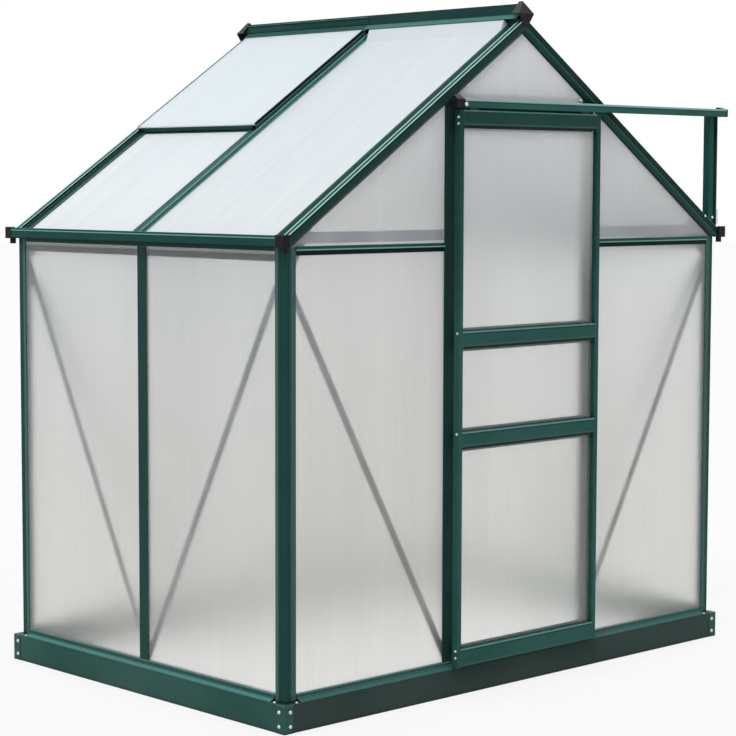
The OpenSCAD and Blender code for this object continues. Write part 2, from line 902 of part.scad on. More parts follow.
// Upright that carries the free end of the track, standing on the rafter
module track_support() {
    depth = rafter_box_w;
    face = 21;
    color(frame_green) difference() {
        translate([support_x, track_y1, eave_z - 30]) linear_extrude(track_z1 - eave_z + 30)
            difference() {
                rect(0, support_w, 0, depth);
                rect(skin, support_w - skin, skin, depth - skin);
                rect(face, support_w - 3, -1, skin + 1);
            }
        under_roof(0);
    }
}

// ---------------------------------------------------------------- door leaf

pane_x = door_x - stile_w - 1 - edge_play;

// Openings for the panes: [lower edge, upper edge]
panes = [
    [door_z0 + door_foot_h, rail_z_low - door_rail_h / 2],
    [rail_z_low + door_rail_h / 2, rail_z_high - door_rail_h / 2],
    [rail_z_high + door_rail_h / 2, door_z1 - door_rail_h]
];

module hollow_2d(x0, x1, y0, y1) {
    difference() {
        rect(x0, x1, y0, y1);
        rect(x0 + skin, x1 - skin, y0 + skin, y1 - skin);
    }
}

module door_stiles() {
    color(frame_green) both_sides() translate([door_x, door_y0, 0]) {
        translate([0, 0, door_z0]) linear_extrude(door_z1 - door_z0)
            hollow_2d(-stile_w, 0, 0, door_t);
        for (p = panes) translate([0, 0, p[0] + joint_gap])
            linear_extrude(p[1] - p[0] - 2 * joint_gap) {
                rect(-stile_w - door_flange, 0.5 - stile_w, slot_b1, slot_b1 + skin);
                rect(-stile_w - door_lip, 0.5 - stile_w, slot_b0 - skin, slot_b0);
            }
    }
}

// Section of a door rail: a hollow bar with a sheet slot above and below
module door_rail_2d(z0, z1, above, below) {
    b1 = door_y0 + slot_b1;
    b0 = door_y0 + slot_b0 - skin;
    hollow_2d(door_y0, door_y1, z0, z1);
    if (above) {
        rect(b1, b1 + skin, z1 - 0.5, z1 + door_flange);
        rect(b0, b0 + skin, z1 - 0.5, z1 + door_lip);
    }
    if (below) {
        rect(b1, b1 + skin, z0 - door_flange, z0 + 0.5);
        rect(b0, b0 + skin, z0 - door_lip, z0 + 0.5);
    }
}

// A door rail; its slots stop short of the stiles' own flanges
module door_rail(z0, z1, above, below) {
    x = door_x - stile_w;
    along_x(-x, x) door_rail_2d(z0, z1, false, false);
    along_x(door_flange - x, x - door_flange) door_rail_2d(z0, z1, above, below);
}

module door_rails() {
    color(frame_green) {
        door_rail(door_z0, panes[0][0], true, false);
        door_rail(panes[0][1], panes[1][0], true, true);
        door_rail(panes[1][1], panes[2][0], true, true);
        door_rail(panes[2][1], door_z1, false, true);
    }
}

module door_sheets() {
    color(sheet_white) for (p = panes)
        block([-pane_x, door_y0 + pane_b, p[0]],
              [pane_x, door_y0 + pane_b + sheet_t, p[1] - edge_play]);
}

// Wheels on brackets that hang the leaf from the track's shelf
module door_rollers() {
    wheel_y = track_y1 - shelf_w + skin + 0.8;
    plate_y = track_y1 - shelf_w - 7.4;
    axle_z = shelf_z + joint_gap + wheel_r;
    bolt_r = 2.5;
    half_plate = 14;
    for (s = [-1, 1]) translate([s * (door_x - 62), 0, 0]) {
        color(plastic_black) translate([0, wheel_y, axle_z]) rotate([-90, 0, 0])
            difference() {
                cylinder(h = wheel_w, r = wheel_r, $fn = 48);
                translate([0, 0, -1]) cylinder(h = wheel_w + 2, r = bolt_r + 0.1, $fn = 32);
            }
        color(zinc) {
            block([-half_plate, plate_y, door_z1], [half_plate, plate_y + steel, axle_z + 6]);
            block([-half_plate, plate_y - 10, door_z1],
                  [half_plate, plate_y + steel, door_z1 + steel]);
            translate([0, plate_y + 0.5, axle_z]) rotate([-90, 0, 0])
                cylinder(h = wheel_y + wheel_w + 1 - plate_y, r = bolt_r, $fn = 32);
        }
    }
}

// Guide shoes at the foot of the leaf
module door_guides() {
    color(zinc) for (s = [-1, 1]) translate([s * (door_x - 30), 0, 0]) {
        block([-12, door_y1, door_z0 - steel], [12, door_y1 + steel, door_z0 + 24]);
        block([-12, door_y1 - 14, door_z0 - steel], [12, door_y1 + steel, door_z0]);
    }
}

base_front();
base_back();
base_left();
base_right();
base_corners();
sill_front();
sill_back();
side_sills();
corner_posts();
side_posts();
door_posts();
back_posts();
gutter_left();
gutter_right();
gutter_end_caps();
eave_left();
eave_right();
gable_rails_front();
gable_rails_back();
door_header();
rafters_front();
rafters_back();
roof_bars();
ridge_beam();
ridge_caps();
side_sheets_left();
side_sheets_right();
gable_sheets_front();
gable_sheets_back();
roof_sheets_left();
roof_sheets_right();
vent_sill();
vent_hinge();
vent_frame();
vent_sheet();
wall_braces();
gusset_plates();
door_track();
track_stops();
track_support();
door_stiles();
door_rails();
door_sheets();
door_rollers();
door_guides();
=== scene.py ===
import math

import bmesh
import bpy
from mathutils import Matrix, Vector


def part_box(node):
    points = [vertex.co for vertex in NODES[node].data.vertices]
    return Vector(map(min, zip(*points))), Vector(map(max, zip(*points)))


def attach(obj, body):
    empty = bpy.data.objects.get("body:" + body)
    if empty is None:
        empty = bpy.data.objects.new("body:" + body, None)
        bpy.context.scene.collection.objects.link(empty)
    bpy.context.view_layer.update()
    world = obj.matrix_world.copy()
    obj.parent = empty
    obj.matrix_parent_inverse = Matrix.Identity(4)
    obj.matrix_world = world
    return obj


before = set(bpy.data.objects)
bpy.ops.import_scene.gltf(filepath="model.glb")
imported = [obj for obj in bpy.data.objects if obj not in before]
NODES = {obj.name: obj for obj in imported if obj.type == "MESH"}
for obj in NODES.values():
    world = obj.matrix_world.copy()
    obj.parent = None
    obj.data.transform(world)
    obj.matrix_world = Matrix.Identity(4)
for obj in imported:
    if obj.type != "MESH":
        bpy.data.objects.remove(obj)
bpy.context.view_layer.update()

MM = 0.001

# The rafters' ribs lie in two planes that meet at height APEX and fall by SLOPE.
SLOPE, APEX = 0.6716, 1.977
ROOF_ANGLE = math.atan(SLOPE)


# ------------------------------------------------------------------ camera

CAMERA_PLACE = (-4.7145, -4.9444, 1.4969)
CAMERA_YAW, CAMERA_DIP, CAMERA_ROLL = 43.454, 4.955, 0.14
CAMERA_LENS = 104.85


def add_camera():
    data = bpy.data.cameras.new("camera")
    data.sensor_width = 36.0
    data.lens = CAMERA_LENS
    data.clip_end = 100.0
    cam = bpy.data.objects.new("camera", data)
    bpy.context.scene.collection.objects.link(cam)
    yaw, dip, roll = (math.radians(a) for a in (CAMERA_YAW, CAMERA_DIP, CAMERA_ROLL))
    turn = Matrix.Rotation(-yaw, 4, "Z") @ Matrix.Rotation(math.pi / 2 - dip, 4, "X")
    cam.matrix_world = Matrix.Translation(CAMERA_PLACE) @ turn @ Matrix.Rotation(roll, 4, "Z")
    bpy.context.scene.camera = cam


add_camera()


# --------------------------------------------------------------- materials

LINE_FADE = 0.6  # millimetres over which a painted line fades in and out
EDGE_STARTS, EDGE_FULL = 0.998, 0.86  # cosines between the flat and the rounded normal


class Shader:
    """A node material under construction."""

    def __init__(self, name):
        self.mat = bpy.data.materials.new(name)
        self.mat.use_nodes = True
        self.tree = self.mat.node_tree
        self.tree.nodes.clear()
        self.out = self.tree.nodes.new("ShaderNodeOutputMaterial")
        self.coords = self.tree.nodes.new("ShaderNodeTexCoord").outputs["Object"]

    def node(self, kind, settings=None, **inputs):
        n = self.tree.nodes.new("ShaderNode" + kind)
        for key, value in (settings or {}).items():
            setattr(n, key, value)
        for key, value in inputs.items():
            self.put(n, key.replace("_", " "), value)
        return n

    def put(self, n, key, value):
        """Links a socket to an input, given by name or number, or sets its value."""
        socket = n.inputs[int(key)] if key.isdigit() else n.inputs[key]
        if isinstance(value, bpy.types.NodeSocket):
            self.tree.links.new(value, socket)
        else:
            socket.default_value = value

    def scaled(self, x, y, z):
        n = self.node("Mapping", Vector=self.coords)
        n.inputs["Scale"].default_value = (x, y, z)
        return n.outputs[0]

    def noise(self, scale, detail=3.0, rough=0.55, at=None):
        n = self.node("TexNoise", Vector=at or self.coords, Scale=scale, Detail=detail)
        n.inputs["Roughness"].default_value = rough
        return n.outputs["Fac"]

    def remap(self, value, a, b, lo, hi):
        n = self.node("MapRange", Value=value)
        for key, v in (("From Min", a), ("From Max", b), ("To Min", lo), ("To Max", hi)):
            n.inputs[key].default_value = v
        return n.outputs[0]

    def maths(self, op, a, b=0.0):
        n = self.node("Math", {"operation": op})
        self.put(n, "0", a)
        self.put(n, "1", b)
        return n.outputs[0]

    def both(self, a, b):
        return self.maths("MULTIPLY", a, b)

    def mix(self, fac, a, b, blend="MIX"):
        n = self.node("Mix", {"data_type": "RGBA", "blend_type": blend})
        self.put(n, "0", fac)
        self.put(n, "6", a if isinstance(a, bpy.types.NodeSocket) else (*a, 1.0))
        self.put(n, "7", b if isinstance(b, bpy.types.NodeSocket) else (*b, 1.0))
        return n.outputs[2]

    def mix_shaders(self, fac, a, b):
        n = self.node("MixShader")
        self.put(n, "0", fac)
        self.put(n, "1", a)
        self.put(n, "2", b)
        return n.outputs[0]

    def part_of(self, vector, axis):
        return self.node("SeparateXYZ", Vector=vector).outputs["XYZ".index(axis)]

    def at(self, axis, size=False):
        """One coordinate of the point, or its distance from the middle."""
        v = self.part_of(self.coords, axis)
        return self.maths("ABSOLUTE", v) if size else v

    def over_roof(self):
        """Height above the plane of the rafters' ribs, square to the slope."""
        drop = self.both(self.at("X", True), SLOPE)
        up = self.maths("SUBTRACT", self.maths("ADD", self.at("Z"), drop), APEX)
        return self.both(up, math.cos(ROOF_ANGLE))

    def facing(self, axis, a, b, size=False):
        """0 to 1 as the face's normal leans from a to b along an axis."""
        n = self.node("NewGeometry").outputs["True Normal"]
        v = self.part_of(n, axis)
        return self.remap(self.maths("ABSOLUTE", v) if size else v, a, b, 0.0, 1.0)

    def band(self, v, a, b, strength=1.0):
        """Mask between a and b, in millimetres."""
        up = self.remap(v, (a - LINE_FADE) * MM, (a + LINE_FADE) * MM, 0.0, strength)
        return self.both(up, self.remap(v, (b - LINE_FADE) * MM, (b + LINE_FADE) * MM, 1.0, 0.0))

    def upright(self, mask):
        """Keeps a mask on faces that stand upright."""
        return self.both(mask, self.facing("Z", 0.7, 0.5, True))

    def bump(self, height, strength, distance, normal=None):
        n = self.node("Bump", Height=height, Strength=strength, Distance=distance)
        if normal is not None:
            self.put(n, "Normal", normal)
        return n.outputs[0]

    def edge(self, radius):
        """Mask that is 1 on sharp edges and 0 on flat faces, and the rounded normal."""
        round_n = self.node("Bevel", {"samples": 6}, Radius=radius).outputs[0]
        flat_n = self.node("NewGeometry").outputs["True Normal"]
        dot = self.node("VectorMath", {"operation": "DOT_PRODUCT"})
        self.put(dot, "0", round_n)
        self.put(dot, "1", flat_n)
        return self.remap(dot.outputs["Value"], EDGE_STARTS, EDGE_FULL, 0.0, 1.0), round_n

    def finish(self, shader):
        self.tree.links.new(shader, self.out.inputs["Surface"])
        return self.mat


def shade(colour, times):
    return [c * times for c in colour]


def powder_coat(name, base, light, glint, rough=0.36, up_r=0.004, down_r=0.007, crevice_shade_reach=0.02,
                change=None, hush=None):
    """Satin powder coat: orange peel, soft colour drift, specks, painted shade in crevices,
    edges painted lighter (partly wear, partly a painted highlight), a brighter painted
    highlight on edges that look up and painted shade on edges that look down. change
    repaints the colour by place, and above the height hush no edge gets the bright painted
    highlight."""
    s = Shader(name)
    colour = s.mix(s.remap(s.noise(2.6, 4.0), 0.35, 0.68, 0.0, 1.0), base, light)
    speck = s.noise(900.0, 2.0, 0.7)
    colour = s.mix(s.remap(speck, 0.55, 0.8, 0.0, 0.12), colour, shade(light, 1.9))
    if change is not None:
        colour = change(s, colour)
    # patches that break up the painted highlight on edges that look up
    highlight_patches = s.remap(s.noise(60.0, 4.0, 0.65), 0.3, 0.62, 0.6, 1.0)
    # edges painted lighter: partly wear, partly a painted highlight
    edge, soft = s.edge(0.0018)
    colour = s.mix(s.both(edge, 0.3), colour, shade(light, 2.2))
    # painted shade on edges that look down
    low_edge, low_soft = s.edge(down_r)
    down = s.part_of(low_soft, "Z")
    down = s.both(low_edge, s.remap(down, -0.3, -0.65, 0.0, 0.9))
    colour = s.mix(down, colour, shade(base, 0.16))
    # painted highlight on edges that look up
    top_edge, top_soft = s.edge(up_r)
    up = s.part_of(top_soft, "Z")
    up = s.both(s.both(top_edge, highlight_patches), s.remap(up, 0.25, 0.7, 0.0, 1.0))
    if hush is not None:
        up = s.both(up, s.remap(s.at("Z"), hush - 30 * MM, hush, 1.0, 0.0))
    colour = s.mix(up, colour, glint)
    # painted shade in crevices and recesses, found by ambient occlusion
    crevice_shade = s.node("AmbientOcclusion", {"samples": 6}, Distance=crevice_shade_reach).outputs["AO"]
    colour = s.mix(s.remap(crevice_shade, 0.25, 0.75, 0.85, 0.0), colour, shade(base, 0.10))
    peel = s.bump(s.noise(420.0, 2.0), 0.10, 0.0006, soft)
    b = s.node("BsdfPrincipled", Base_Color=colour, IOR=1.14, Metallic=0.0)
    s.put(b, "Roughness", s.remap(s.noise(7.0, 3.0), 0.3, 0.7, rough - 0.05, rough + 0.07))
    s.put(b, "Normal", peel)
    return s.finish(b.outputs[0])


FLUTE_PITCH = 5.7 * MM
SHEET_SHADOW = (0.86, 0.88, 0.89, 1.0)


def twin_wall(name, across, low, high, z0, z1, rough, veil, lines, light_haze=None):
    """Frosted twin-wall sheet whose tint drifts from low at height z0 to high at z1, a
    painted gradient of light and shade by height. Fine drawing lines and the ribs between
    its two skins run along the flutes and scatter light sideways. The last argument, if
    given, is an axis, the two places between which the sheet turns milky, and how milky it
    gets: a painted haze that stands in for light on the sheet there."""
    s = Shader(name)
    split = s.node("SeparateXYZ", Vector=s.coords).outputs

    def along(cross, flute):
        return s.scaled(cross, flute, flute) if across == "x" else s.scaled(flute, cross, flute)

    # painted gradient of light and shade by height
    colour = s.mix(s.remap(split[2], z0, z1, 0.0, 1.0), low, high)
    wave = s.maths("SINE", s.both(split["xyz".index(across)], 2 * math.pi / FLUTE_PITCH))
    rib = s.maths("POWER", s.remap(wave, -1.0, 1.0, 0.0, 1.0), 5.0)
    broad = s.noise(1.0, 3.0, 0.6, along(14.0, 0.4))
    thin = s.noise(1.0, 4.0, 0.75, along(230.0, 0.5))
    dash = s.noise(1.0, 3.0, 0.7, along(260.0, 7.0))
    for mask, tint in (
        (s.remap(broad, 0.35, 0.7, 0.0, 0.5), (0.955, 0.958, 0.962)),
        (s.remap(thin, 0.30, 0.70, 0.0, lines), (0.80, 0.82, 0.84)),
        (s.remap(dash, 0.45, 0.75, 0.0, lines), (0.84, 0.86, 0.88)),
        (s.both(rib, 0.06), (0.86, 0.87, 0.88)),
    ):
        colour = s.mix(mask, colour, tint, "MULTIPLY")
    drawn = s.bump(s.noise(1.0, 2.0, 0.6, along(900.0, 1.5)), 1.0, 0.00007)
    b = s.node("BsdfPrincipled", Base_Color=colour, Metallic=0.0)
    b.inputs["IOR"].default_value = 1.45
    b.inputs["Transmission Weight"].default_value = 1.0 - veil
    b.inputs["Specular IOR Level"].default_value = 0.2
    s.put(b, "Roughness", s.remap(thin, 0.3, 0.7, rough - 0.03, rough + 0.03))
    s.put(b, "Normal", drawn)
    surface = b.outputs[0]
    # painted haze that stands in for light
    if light_haze is not None:
        axis, start, full, amount = light_haze
        milky = s.node("BsdfDiffuse", Color=colour)
        share = s.remap(s.at(axis), start, full, 0.0, amount)
        surface = s.mix_shaders(share, surface, milky.outputs[0])
    # lamps reach the inside through the sheets
    clear = s.node("BsdfTransparent", Color=SHEET_SHADOW)
    in_shadow = s.node("LightPath").outputs["Is Shadow Ray"]
    return s.finish(s.mix_shaders(in_shadow, surface, clear.outputs[0]))


def galvanised(name, base, light, rough):
    """Zinc coat with a faint spangle."""
    s = Shader(name)
    cells = s.node("TexVoronoi", {"feature": "F1"}, Vector=s.coords, Scale=160.0)
    spangle = s.node("SeparateColor", Color=cells.outputs["Color"]).outputs[0]
    colour = s.mix(s.remap(spangle, 0.0, 1.0, 0.0, 0.6), base, light)
    colour = s.mix(s.remap(s.noise(9.0, 4.0), 0.4, 0.7, 0.0, 0.45), colour, (0.52, 0.55, 0.55))
    # sharp edges painted near white: a painted highlight
    edge, soft = s.edge(0.0009)
    colour = s.mix(edge, colour, (0.86, 0.88, 0.88))
    b = s.node("BsdfPrincipled", Base_Color=colour, Metallic=0.75)
    s.put(b, "Roughness", s.remap(spangle, 0.0, 1.0, rough - 0.06, rough + 0.08))
    s.put(b, "Normal", s.bump(s.noise(700.0, 2.0), 0.08, 0.0004, soft))
    return s.finish(b.outputs[0])


def moulded(name, base, light):
    """Moulded plastic with a fine spark-eroded grain; faces that look up are painted greyer as a
    painted sky reflection, and upright edges get a painted highlight.
    """
    s = Shader(name)
    colour = s.mix(s.remap(s.noise(14.0, 3.0), 0.35, 0.7, 0.0, 0.6), base, light)
    # painted sky reflection on faces that look up
    colour = s.mix(s.facing("Z", 0.25, 0.8), colour, (0.085, 0.088, 0.092))
    edge, soft = s.edge(0.0022)
    # painted highlight on upright edges
    colour = s.mix(s.both(edge, s.facing("Z", -0.2, 0.2)), colour, (0.12, 0.12, 0.125))
    b = s.node("BsdfPrincipled", Base_Color=colour, IOR=1.3)
    b.inputs["Specular IOR Level"].default_value = 0.25
    s.put(b, "Roughness", s.remap(s.noise(30.0, 2.0), 0.3, 0.7, 0.41, 0.54))
    s.put(b, "Normal", s.bump(s.noise(1300.0, 2.0), 0.16, 0.0005, soft))
    return s.finish(b.outputs[0])


WHEEL_DEPTH = 8.0 * MM


def rollers(name):
    """The hangers' node holds brackets and wheels: its inner WHEEL_DEPTH is the wheels."""
    s = Shader(name)
    y = s.part_of(s.coords, "Y")
    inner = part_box("door_rollers")[1].y - WHEEL_DEPTH
    wheel = s.remap(y, inner - 0.1 * MM, inner + 0.1 * MM, 0.0, 1.0)
    spot = s.noise(220.0, 3.0)
    zinc_part = s.mix(
        s.remap(spot, 0.35, 0.65, 0.0, 1.0), (0.030, 0.034, 0.034), (0.05, 0.055, 0.055))
    black_part = s.mix(
        s.remap(spot, 0.35, 0.65, 0.0, 1.0), (0.018, 0.018, 0.02), (0.03, 0.03, 0.033))
    b = s.node("BsdfPrincipled", Base_Color=s.mix(wheel, zinc_part, black_part))
    s.put(b, "Roughness", s.remap(s.noise(60.0), 0.3, 0.7, 0.34, 0.5))
    s.put(b, "Normal", s.bump(s.noise(900.0, 2.0), 0.1, 0.0004))
    return s.finish(b.outputs[0])


# ------------------------------------------- lines painted along the profiles
# They follow the light of the photograph, by place on the object. Each function takes
# a shader and its colour and gives the colour with the lines on it.

# painted shade, and the painted highlight on the rafters' lips
DEEP_SHADE = (0.003, 0.008, 0.007)
LIP_HIGHLIGHT = (0.44, 0.78, 0.73)
FACE_DEPTH = 0.1 * MM  # what lies this close to a node's front is its front face
BAR_WIDTH = 59  # millimetres


def front_bands(node):
    """Lowest and highest point, in millimetres, of each front face of a node's parts."""
    bm = bmesh.new()
    bm.from_mesh(NODES[node].data)
    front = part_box(node)[0].y
    seen, bands = set(), []
    for v in [v for v in bm.verts if abs(v.co.y - front) < FACE_DEPTH]:
        if v in seen:
            continue
        part, todo = [], [v]
        while todo:
            w = todo.pop()
            if w in seen:
                continue
            seen.add(w)
            part.append(w)
            todo += [e.other_vert(w) for e in w.link_edges]
        z = [w.co.z / MM for w in part if abs(w.co.y - front) < FACE_DEPTH]
        bands.append((min(z), max(z)))
    bm.free()
    return sorted(bands)


def lips(s, colour):
    """The corner posts' flat lips are painted lighter, as they catch more light than their
    chamfered noses.
    """
    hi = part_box("corner_posts")[1]
    side = s.remap(s.at("Y", True), hi.y - 30 * MM, hi.y - 26 * MM, 1.0, 0.0)
    front = s.remap(s.at("X", True), hi.x - 26 * MM, hi.x - 18 * MM, 1.0, 0.0)
    colour = s.mix(side, colour, (0.060, 0.140, 0.126))
    return s.mix(s.both(front, 0.8), colour, (0.056, 0.122, 0.107))


def gable_rail_lines(s, colour):
    """Painted light and shade: the upper half stands proud, with a painted highlight along its foot
    and painted shade below it, and a dark line painted along its top.
    """
    lo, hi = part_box("gable_rails_front")
    z, mid = s.at("Z"), (lo.z + hi.z) / 2 / MM
    head = s.upright(s.band(z, hi.z / MM - 3, hi.z / MM + 1, 0.6))
    colour = s.mix(head, colour, (0.008, 0.026, 0.024))
    colour = s.mix(s.upright(s.band(z, mid + 0.5, mid + 4, 1.0)), colour, (0.20, 0.42, 0.38))
    return s.mix(s.band(z, lo.z / MM - 1, mid, 0.94), colour, DEEP_SHADE)


def rafter_lines(s, colour):
    """Painted light on the rafters: narrow lips with a painted highlight beside a channel,
    painted shade under them, tops and fronts painted darker as shade. The fronts of the
    right-hand rafters have painted light and shade lines of their own."""
    inward = s.maths("SUBTRACT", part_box("rafters_back")[1].y, s.at("Y", True))
    right = s.remap(s.at("X"), -0.01, 0.01, 0.0, 1.0)
    top = s.facing("Z", 0.5, 0.7)
    front = s.facing("Y", 0.2, 0.4, True)
    rise = s.over_roof()
    # tops painted darker as shade
    colour = s.mix(s.both(top, 0.9), colour, (0.004, 0.044, 0.037))
    # lines painted across the tops: the channel, a painted highlight on each lip, painted shade
    # beside them and a painted highlight on the flange's far lip
    for start, end, paint in (
        (7, 18, (0.020, 0.110, 0.094)),
        (1.0, 6.0, LIP_HIGHLIGHT),
        (19.0, 24.2, LIP_HIGHLIGHT),
        (25.4, 31, (0.002, 0.010, 0.009)),
        (61, 66, (0.20, 0.34, 0.33)),
    ):
        colour = s.mix(s.both(top, s.band(inward, start, end, 0.95)), colour, paint)
    # fronts painted duller as shade, the right-hand ones less so
    colour = s.mix(front, colour, (0.013, 0.041, 0.035))
    colour = s.mix(s.both(front, right), colour, (0.018, 0.066, 0.055))
    # painted shade lines along the fronts
    for low, high in ((-5, 1), (-38, -33.5)):
        colour = s.mix(s.both(front, s.band(rise, low, high, 0.85)), colour, DEEP_SHADE)
    # painted light and shade lines on the right-hand fronts
    for low, high, paint in (
        (-4, 1, (0.009, 0.050, 0.038)),
        (-7.5, -4, (0.002, 0.006, 0.005)),
        (-12, -7.5, (0.007, 0.040, 0.029)),
        (-17, -12, DEEP_SHADE),
    ):
        mask = s.both(s.both(front, right), s.band(rise, low, high, 0.9))
        colour = s.mix(mask, colour, paint)
    return colour


def bar_lines(s, colour):
    """Roof bars, in painted light and shade: light flanges, a dark rib with one painted highlight
    along an edge.
    """
    y = s.at("Y")
    bar_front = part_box("roof_bars")[1].y / MM - BAR_WIDTH
    top = s.facing("Z", 0.5, 0.7)
    side = s.facing("Y", 0.5, 0.7, True)
    # the rib's side faces painted lighter, as light falls on them
    flank = s.both(side, s.band(y, bar_front - 3, bar_front + 30, 0.9))
    colour = s.mix(flank, colour, (0.070, 0.215, 0.190))
    # painted light and shade lines across the bar's top
    for start, end, paint in (
        (-2, 9.8, (0.075, 0.225, 0.200)),
        (9.8, 20.4, (0.006, 0.046, 0.039)),
        (20.4, 60, (0.042, 0.125, 0.115)),
        (9.9, 13.6, (0.22, 0.55, 0.49)),
        (55.5, 57.2, (0.012, 0.05, 0.045)),
    ):
        mask = s.both(top, s.band(y, bar_front + start, bar_front + end, 0.95))
        colour = s.mix(mask, colour, paint)
    return colour


def vent_lines(s, colour):
    """The vent's side faces and the faces that look up are painted greyer and lighter than its
    foot, as light falls on them.
    """
    side = s.facing("Y", 0.5, 0.7, True)
    colour = s.mix(s.both(side, 0.9), colour, (0.050, 0.130, 0.120))
    return s.mix(s.both(s.facing("Z", 0.5, 0.7), 0.7), colour, (0.050, 0.135, 0.125))


def ridge_lines(s, colour):
    """The hood's upper face is painted lighter where it catches the sky; the box above it has a
    dark top edge painted as shade.
    """
    hood = s.both(s.facing("Z", 0.6, 0.8), s.remap(s.at("X", True), 8 * MM, 10 * MM, 0.0, 1.0))
    colour = s.mix(hood, colour, (0.085, 0.235, 0.215))
    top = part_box("ridge_beam")[1].z / MM
    return s.mix(s.band(s.at("Z"), top - 7, top + 1, 0.8), colour, (0.004, 0.014, 0.012))


def track_lines(s, colour):
    """A painted highlight on the upper lip with a painted shade line under it."""
    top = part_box("door_track")[1].z / MM
    z = s.at("Z")
    colour = s.mix(s.upright(s.band(z, top - 10, top - 6.5, 0.75)), colour, (0.010, 0.058, 0.050))
    return s.mix(s.upright(s.band(z, top - 5.5, top + 1, 0.85)), colour, (0.32, 0.53, 0.52))


def leaf_lines(s, colour):
    """The leaf is painted duller towards its head, as shade under its track; each rail gets a
    painted highlight on its top and painted shade at its foot.
    """
    z = s.at("Z")
    # painted shade under the track, darker towards the head
    colour = s.mix(s.remap(z, 1.1, 1.68, 0.0, 1.0), colour, (0.50, 0.58, 0.58), "MULTIPLY")
    inner = s.band(s.at("X", True), 0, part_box("door_rails")[1].x / MM + 0.6)
    bands = front_bands("door_rails")
    head = bands[-1][1]
    # painted shade at each rail's foot, a lighter line above it, a darker line and a painted
    # highlight at its top
    for z0, z1 in bands:
        for low, high, paint in (
            (z0 - 1, z0 + 4, (0.004, 0.010, 0.009)),
            (z0 + 5.5, z0 + 10, (0.044, 0.095, 0.088)),
            (z1 - 8.5, z1 - 5.5, (0.010, 0.052, 0.047)),
            (z1 - 4, z1 + 1, (0.135, 0.30, 0.28)),
        ):
            # a face that reaches the leaf's head has no line that starts above its foot
            if z1 == head and low > z0:
                continue
            colour = s.mix(s.both(inner, s.upright(s.band(z, low, high, 0.85))), colour, paint)
    return colour


def gutter_lines(s, colour):
    """Painted light and shade on the gutter: a pale rim, a painted highlight under it, a painted
    shade line below and painted shade at its foot.
    """
    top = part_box("gutter_left")[1].z / MM
    z = s.at("Z")
    for low, high, strength, paint in (
        (-2, 1, 0.6, (0.09, 0.18, 0.18)),
        (-8.6, -5.8, 0.95, (0.19, 0.44, 0.41)),
        (-14.5, -9.5, 0.6, (0.010, 0.058, 0.052)),
        (-33, -28.5, 0.8, (0.008, 0.012, 0.011)),
    ):
        colour = s.mix(s.upright(s.band(z, top + low, top + high, strength)), colour, paint)
    return colour


def eave_lines(s, colour):
    """Above its dark lower lip the eave's inner face is painted pale."""
    mid = (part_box("eave_left")[0].z + 19 * MM) / MM
    return s.mix(s.band(s.at("Z"), mid, mid + 40), colour, (0.60, 0.60, 0.58))


def sill_lines(s, colour):
    """The sills' foot flanges look up and get a painted shine, the side ones more than the front's;
    a painted highlight runs along their upper lip, fainter on the front's.
    """
    lo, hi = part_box("side_sills")
    z = s.at("Z")
    foot = s.both(s.facing("Z", 0.7, 0.9), s.band(z, lo.z / MM - 1, lo.z / MM + 8, 0.9))
    gable = s.band(s.at("X", True), 0, 889)
    colour = s.mix(foot, colour, (0.090, 0.27, 0.25))
    colour = s.mix(s.both(foot, gable), colour, (0.050, 0.125, 0.115))
    # painted highlight along the upper lip
    lip = s.band(z, hi.z / MM - 3.5, hi.z / MM + 1, 0.8)
    colour = s.mix(lip, colour, (0.16, 0.30, 0.29))
    return s.mix(s.both(lip, gable), colour, (0.07, 0.13, 0.125))


# ------------------------------------------------------------------ finishes

GLINT = (0.34, 0.68, 0.62)
SOFT_GLINT = (0.13, 0.28, 0.255)
DARK, LIGHT = (0.0095, 0.062, 0.053), (0.018, 0.084, 0.073)

# green_coat is the frame's green. The coats that follow are copies of it, most with lighter or
# darker colours that stand in for the light and shade each piece gets, on top of their painted
# lines.
green = powder_coat("green_coat", DARK, LIGHT, SOFT_GLINT)
post_green = powder_coat(
    "post_coat", (0.010, 0.050, 0.044), (0.016, 0.064, 0.056), SOFT_GLINT, change=lips)
side_green = powder_coat(
    "side_post_coat", (0.012, 0.050, 0.043), (0.018, 0.062, 0.054), SOFT_GLINT)
# the door posts' and back posts' copy is painted darker as shade
door_post_shade = powder_coat(
    "door_post_shaded_coat", (0.012, 0.042, 0.035), (0.018, 0.052, 0.045), SOFT_GLINT)
rail_green = powder_coat(
    "rail_coat", (0.014, 0.062, 0.053), (0.020, 0.080, 0.070), SOFT_GLINT,
    change=gable_rail_lines)
gutter_green = powder_coat(
    "gutter_coat", (0.008, 0.056, 0.050), (0.014, 0.070, 0.063), SOFT_GLINT,
    change=gutter_lines)
sill_green = powder_coat(
    "sill_coat", (0.016, 0.074, 0.066), (0.026, 0.094, 0.084), SOFT_GLINT, change=sill_lines)
rafter_green = powder_coat("rafter_coat", DARK, LIGHT, GLINT, change=rafter_lines)
bar_green = powder_coat("bar_coat", DARK, LIGHT, GLINT, change=bar_lines)
vent_green = powder_coat("vent_coat", DARK, LIGHT, GLINT, change=vent_lines)
ridge_green = powder_coat(
    "ridge_coat", (0.010, 0.052, 0.046), (0.018, 0.068, 0.060), (0.085, 0.22, 0.20),
    up_r=0.001, down_r=0.002, crevice_shade_reach=0.005, change=ridge_lines)
track_green = powder_coat(
    "track_coat", (0.018, 0.088, 0.075), (0.028, 0.110, 0.096), GLINT, change=track_lines)
